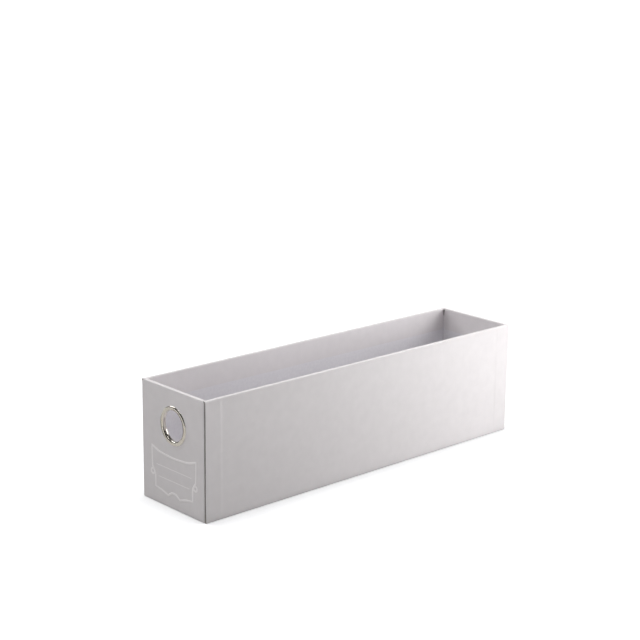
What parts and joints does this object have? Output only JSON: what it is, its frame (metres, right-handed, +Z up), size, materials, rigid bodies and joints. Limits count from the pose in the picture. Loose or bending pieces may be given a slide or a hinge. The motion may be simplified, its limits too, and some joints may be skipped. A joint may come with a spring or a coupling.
{
  "type": "magazine file box",
  "caption": "Long narrow open-topped storage box in paper-covered greyboard, with a round metal finger-pull eyelet in one end, for files, cards or magazines laid on edge.",
  "frame": {"origin": "centre of the underside, midway between the outer faces of the long sides and of the two ends, without the eyelet's flange", "axes": "+Z up towards the open top, -Y out of the end with the finger pull, +X to the right of someone facing that end"},
  "size_m": [0.081, 0.3509, 0.1],
  "materials": {
    "cover_paper": "satin",
    "lining_paper": "matte",
    "greyboard": "matte",
    "stay_tape": "matte",
    "nickel_plate": "polished"
  },
  "bodies": {
    "root": {"base_board": "greyboard", "front_board": "greyboard", "rear_board": "greyboard", "left_board": "greyboard", "right_board": "greyboard", "stay_front_left": "stay_tape", "stay_front_right": "stay_tape", "stay_rear_left": "stay_tape", "stay_rear_right": "stay_tape", "left_wrap": "cover_paper", "right_wrap": "cover_paper", "front_wrap": "cover_paper", "rear_wrap": "cover_paper", "base_cover": "cover_paper", "floor_lining": "lining_paper", "left_lining": "lining_paper", "right_lining": "lining_paper", "front_lining": "lining_paper", "rear_lining": "lining_paper", "eyelet_shell": "nickel_plate", "eyelet_washer": "nickel_plate"}
  },
  "joints": []
}
